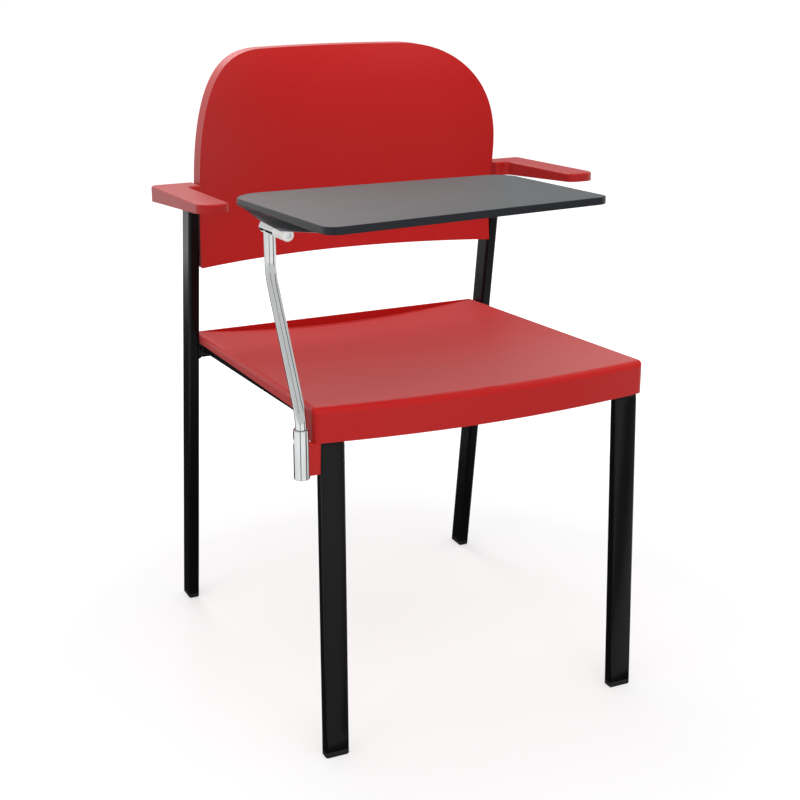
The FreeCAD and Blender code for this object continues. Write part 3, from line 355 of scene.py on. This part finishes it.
def end_outline(node, axis, side):
    """The outer outline of a tube's end, evenly spaced, from the node's own vertices."""
    points = vertices_of(node)
    far = max(side * point[axis] for point in points)
    across = [k for k in range(3) if k != axis]
    flat = [(point[across[0]], point[across[1]]) for point in points if side * point[axis] > far - end_skin]
    hull = [Vector(flat[k]) for k in convex_hull_2d(flat)]
    out = []
    for k in range(len(hull)):
        start, end = hull[k - 1], hull[k]
        count = max(1, round((end - start).length / bead_pitch))
        for step in range(count):
            spot = start.lerp(end, step / count)
            point = Vector((0, 0, 0))
            point[axis] = side * far
            point[across[0]], point[across[1]] = spot
            out.append(point)
    return out


def weld(made, node, axis, side):
    """A rippled bead round the end of a tube."""
    line = end_outline(node, axis, side)
    middle = sum(line, Vector()) / len(line)
    along = Vector((0, 0, 0))
    along[axis] = 1.0
    rings = []
    for k, point in enumerate(line):
        tangent = (line[(k + 1) % len(line)] - line[k - 1]).normalized()
        outward = tangent.cross(along).normalized()
        if outward.dot(point - middle) < 0:
            outward.negate()
        size = bead_radius * (1 + sum(share * math.sin(k * turn) for share, turn in bead_ripples))
        ring = []
        for step in range(bead_sides):
            turn = math.tau * step / bead_sides
            ring.append(made.verts.new(point + outward * (size * math.cos(turn)) + along * (size * math.sin(turn))))
        rings.append(ring)
    for k in range(len(rings)):
        bridge(made, rings[k - 1], rings[k])


beads = bmesh.new()
for node, axis, ends in beads_at:
    for side in ends:
        weld(beads, node, axis, side)
dress("weld_beads", beads, frame_black)


def rib(made, feet, down, across):
    """A moulded rib along a line of points on a shell's hidden side, lower towards its ends."""
    rings = []
    for k, foot in enumerate(feet):
        from_end = min(k, len(feet) - 1 - k)
        tip = foot + down * (rib_height * min(1.0, 0.35 + 0.3 * from_end))
        root = foot - down * rib_sunk
        half = across * (rib_thickness / 2)
        slim = across * (rib_thickness * rib_tip_share)
        rings.append([made.verts.new(spot) for spot in (root + half, tip + slim, tip - slim, root - half)])
    for first, second in zip(rings, rings[1:]):
        bridge(made, first, second)
    made.faces.new(rings[0])
    made.faces.new(rings[-1])


def steps_between(start, end):
    count = max(2, round(abs(end - start) / rib_step))
    return [start + (end - start) * k / count for k in range(count + 1)]


def pan_points(spots):
    """Points on the underside of the seat, without those where there is none."""
    hits = [pan.ray_cast(Vector((x, y, below_seat)), up)[0] for x, y in spots]
    return [hit for hit in hits if hit is not None]


pan = BVHTree.FromPolygons(vertices_of("seat_shell"),
                           [tuple(polygon.vertices) for polygon in nodes["seat_shell"].data.polygons])
seat_ribs = bmesh.new()
for k in range(-rib_count_x, rib_count_x + 1):
    for start, end in rib_runs:
        rib(seat_ribs, pan_points([(k * rib_pitch_x, y) for y in steps_between(start, end)]), -up, across_x)
for k in rib_places_y:
    y = rib_start_y + k * rib_pitch_y
    rib(seat_ribs, pan_points([(x, y) for x in steps_between(-rib_reach_x, rib_reach_x)]), -up, along_y)
dress("seat_ribs", seat_ribs, red)


def heads(node, outward):
    """The middle and the radius of each screw head of a node, seen along a direction."""
    groups = []
    for point in vertices_of(node):
        flat = point - outward * point.dot(outward)
        for group in groups:
            if (group[0] - flat).length < head_spread:
                group[1].append(point)
                break
        else:
            groups.append((flat, [point]))
    out = []
    for _, points in groups:
        reach = max(point.dot(outward) for point in points)
        top = [point for point in points if point.dot(outward) > reach - head_skin]
        middle = sum(top, Vector()) / len(top)
        out.append((middle, max((point - middle).length for point in top)))
    return out


def head_height(a, b, share):
    """The height of a domed head over its flat, at a and b along the cross's arms."""
    height = head_rise * (1 - share ** 2)
    near, far = sorted((abs(a), abs(b)))
    if near < cross_half_width and far < cross_half_length:
        height -= cross_depth * (cross_shallow if share > cross_core else 1.0)
    return height


def cross_head(made, middle, radius, outward):
    """A domed head with a cross recess, over the plain head of a screw."""
    side = outward.orthogonal().normalized()
    other = outward.cross(side)
    rings = []
    for ring in range(1, head_rings + 1):
        share = ring / head_rings
        circle = []
        for step in range(head_steps):
            turn = math.tau * step / head_steps
            a, b = share * math.cos(turn), share * math.sin(turn)
            spot = middle + side * (radius * a) + other * (radius * b) + outward * head_height(a, b, share)
            circle.append(made.verts.new(spot))
        rings.append(circle)
    tip = made.verts.new(middle + outward * head_height(0, 0, 0))
    for step in range(head_steps):
        made.faces.new((tip, rings[0][step], rings[0][(step + 1) % head_steps]))
    rings.append([made.verts.new(vertex.co - outward * head_skirt) for vertex in rings[-1]])
    for inner, outer in zip(rings, rings[1:]):
        bridge(made, inner, outer)
    made.faces.new(rings[-1][::-1])


for node, direction, body in heads_at:
    outward = Vector(direction).normalized()
    caps = bmesh.new()
    for place, size in heads(node, outward):
        cross_head(caps, place, size, outward)
    dress(node + "_heads", caps, zinc, body)


# Stage: bearings are in degrees from +Y, heights in metres

floor_reach = 60.0
floor_grey = 0.82
floor_glow_near, floor_glow_far = 0.10, 0.7
glow_starts, glow_full = 0.5, 1.6           # distances from the chair's middle
world_light = 0.4                           # on the chair; the camera sees plain white

sleeve_foot = (-0.2445, -0.2035)
card_height = 0.001
wedge_near, wedge_far = 0.1, 6.0
eye_height = 0.55
streak_distance = 3.0


def plane(name, corners, material):
    mesh = bpy.data.meshes.new(name)
    mesh.from_pydata(corners, [], [tuple(range(len(corners)))])
    piece = bpy.data.objects.new(name, mesh)
    scene.collection.objects.link(piece)
    mesh.materials.append(material)
    return piece


def floor_material():
    """White to the camera, with the chair's shadow kept."""
    made = Shader("floor_white")
    made.set(Base_Color=(floor_grey, floor_grey, floor_grey, 1), Roughness=0.9, Specular_IOR_Level=0.0)
    away = made.node("VectorMath", operation="LENGTH")
    made.link(made.coords, away.inputs[0])
    glow = made.node("Emission", Color=(1, 1, 1, 1))
    made.link(made.ranged(away.outputs["Value"], floor_glow_near, floor_glow_far, glow_starts, glow_full),
              glow.inputs["Strength"])
    path = made.node("LightPath").outputs
    seen = made.math("MAXIMUM", path["Is Camera Ray"], path["Is Glossy Ray"])
    plain = made.bsdf.outputs[0]
    add = made.node("AddShader")
    made.link(plain, add.inputs[0])
    made.link(glow.outputs[0], add.inputs[1])
    made.surface(made.mix(seen, plain, add.outputs[0]))
    return made.material


def world():
    """Plain white to the camera, in reflections and through clear pieces, dimmer as light."""
    scene.world = bpy.data.worlds.new("studio")
    scene.world.use_nodes = True
    made = Tree(scene.world.node_tree)
    white = made.tree.nodes["Background"]
    white.inputs["Color"].default_value = (1, 1, 1, 1)
    white.inputs["Strength"].default_value = 1.0
    lit = made.node("Background", Color=(1, 1, 1, 1), Strength=world_light)
    path = made.node("LightPath").outputs
    seen = made.math("MAXIMUM", path["Is Camera Ray"], path["Is Glossy Ray"])
    seen = made.math("MAXIMUM", seen, path["Is Transmission Ray"])
    made.surface(made.mix(seen, lit.outputs[0], white.outputs[0]), "World Output")


def lamp(name, place, target, size, power, shadow=True, glossy=False):
    data = bpy.data.lights.new(name, "AREA")
    data.use_shadow = shadow
    data.shape = "RECTANGLE"
    data.size, data.size_y = size
    data.energy = power
    piece = bpy.data.objects.new(name, data)
    scene.collection.objects.link(piece)
    piece.location = place
    piece.rotation_euler = (Vector(target) - Vector(place)).to_track_quat("-Z", "Y").to_euler()
    piece.visible_glossy = glossy


def card(name, corners, level):
    """A dull card beside the object that only its gloss sees."""
    made = Shader(name)
    made.tree.nodes.remove(made.bsdf)
    glow = made.node("Emission", Color=(level, level, level, 1), Strength=1.0)
    made.surface(glow.outputs[0])
    piece = plane(name, corners, made.material)
    piece.visible_camera = False
    piece.visible_diffuse = False
    piece.visible_shadow = False
    piece.visible_transmission = False


def round_sleeve(bearing, distance, height):
    turn = math.radians(bearing)
    return (sleeve_foot[0] + distance * math.sin(turn), sleeve_foot[1] + distance * math.cos(turn), height)


def wedge(name, bearing, spread, level):
    """A card on the floor that starts at the arm tube's foot and widens along a bearing."""
    left, right = bearing - spread / 2, bearing + spread / 2
    card(name, [round_sleeve(left, wedge_near, card_height), round_sleeve(left, wedge_far, card_height),
                round_sleeve(right, wedge_far, card_height), round_sleeve(right, wedge_near, card_height)], level)


def streak(name, bearing, spread, low, high, level):
    """An upright card round the arm tube's foot, between two angles of view over level."""
    left, right = bearing - spread / 2, bearing + spread / 2
    bottom, top = (eye_height + streak_distance * math.tan(math.radians(rise)) for rise in (low, high))
    card(name, [round_sleeve(left, streak_distance, bottom), round_sleeve(right, streak_distance, bottom),
                round_sleeve(right, streak_distance, top), round_sleeve(left, streak_distance, top)], level)


def upright(name, left, right, y, bottom, top, level):
    """An upright card that faces along Y."""
    card(name, [(left, y, bottom), (right, y, bottom), (right, y, top), (left, y, top)], level)


plane("floor", [(-floor_reach, -floor_reach, 0), (floor_reach, -floor_reach, 0),
                (floor_reach, floor_reach, 0), (-floor_reach, floor_reach, 0)], floor_material())
world()

wedge("card_front", 214, 13, 0.25)
wedge("card_right", 128, 22, 0.15)
streak("streak_front", 220, 11, 10, 56, 0.25)
streak("streak_right", 118, 18, 8, 50, 0.15)
card("card_left", [(-0.42, -0.25, card_height), (0.55, -0.25, card_height), (-0.65, 2.4, card_height),
                   (-2.0, 2.4, card_height)], 0.03)
upright("card_low", -0.15, 0.95, 0.95, 0.4, 0.84, 0.06)
upright("card_behind", 4.0, 16.0, 8.0, 0.0, 3.2, 0.1)

chair_middle = (0, 0, 0.45)
lamp("key_front", (-0.5, -2.6, 2.8), chair_middle, (3.0, 2.0), 14)
lamp("fill_front", (-0.4, -2.4, 3.0), chair_middle, (2.0, 2.0), 34, shadow=False)
lamp("fill_left", (-2.8, -0.9, 1.8), chair_middle, (1.8, 1.8), 10)
lamp("fill_top", (0.1, -0.2, 3.2), chair_middle, (3.2, 3.2), 58, shadow=False)
lamp("behind", (0.0, 1.9, 1.9), (-0.2, -0.1, 0.7), (0.8, 0.6), 9, glossy=True)

# Camera at the photograph's place, fitted to the legs, seat and back

camera_data = bpy.data.cameras.new("camera")
camera_data.lens = 66.4
camera_data.sensor_width = 36.0
camera_data.sensor_fit = "HORIZONTAL"
camera_data.clip_end = 200.0
camera = bpy.data.objects.new("camera", camera_data)
scene.collection.objects.link(camera)
camera.location = (-0.8347, -1.731123, 1.0196)
camera.rotation_euler = (math.radians(90 - 18.418), 0, math.radians(-25.197))
scene.camera = camera

scene.view_settings.view_transform = "Standard"
